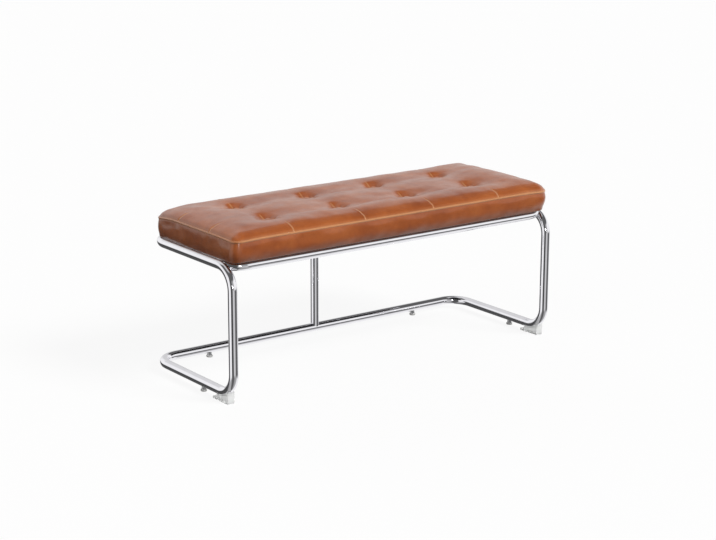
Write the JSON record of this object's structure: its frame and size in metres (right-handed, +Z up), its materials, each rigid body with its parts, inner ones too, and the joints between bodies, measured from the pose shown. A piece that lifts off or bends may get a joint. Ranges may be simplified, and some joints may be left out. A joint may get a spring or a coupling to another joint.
{
  "type": "ottoman bench",
  "caption": "Long ottoman bench for sitting: a boxed, tufted leather pad bolted to an open frame of bent chrome tube, with a rear strut, wedge feet and floor glides.",
  "frame": {"origin": "on the floor, under the middle of the frame", "axes": "+X along the bench, +Y from front to back, +Z up"},
  "size_m": [1.086, 0.419, 0.457],
  "materials": {
    "chrome_tube": "mirror-bright chromium plating",
    "zinc_steel": "bright zinc plating",
    "clear_foot": "milky translucent moulding",
    "glide_pad": "satin moulding",
    "cognac_leather": "semi-gloss, lightly mottled",
    "seat_foam": "open-cell foam",
    "plywood": "raw plywood",
    "lining_cloth": "matt non-woven",
    "waxed_twine": "waxed"
  },
  "bodies": {
    "root": {"left_side_frame": "chrome_tube", "right_side_frame": "chrome_tube", "left_corner_stub": "chrome_tube", "right_corner_stub": "chrome_tube", "front_seat_rail": "chrome_tube", "rear_seat_rail": "chrome_tube", "rear_floor_rail": "chrome_tube", "rear_strut": "chrome_tube", "seat_tabs": "chrome_tube", "left_front_spigot": "zinc_steel", "right_front_spigot": "zinc_steel", "left_rear_spigot": "zinc_steel", "right_rear_spigot": "zinc_steel", "left_floor_spigot": "zinc_steel", "right_floor_spigot": "zinc_steel", "joint_screws": "zinc_steel", "strut_bolts": "zinc_steel", "strut_plugs": "zinc_steel", "glide_studs": "zinc_steel", "seat_washers": "zinc_steel", "seat_bolts": "zinc_steel", "tuft_washers": "zinc_steel", "tee_nuts": "zinc_steel", "left_front_foot": "clear_foot", "right_front_foot": "clear_foot", "left_floor_glide": "glide_pad", "right_floor_glide": "glide_pad", "rear_left_glide": "glide_pad", "rear_right_glide": "glide_pad", "top_cover": "cognac_leather", "boxing_band": "cognac_leather", "border_welt": "cognac_leather", "tuft_buttons": "cognac_leather", "foam_core": "seat_foam", "seat_board": "plywood", "dust_cover": "lining_cloth", "tuft_ties": "waxed_twine"}
  },
  "joints": []
}
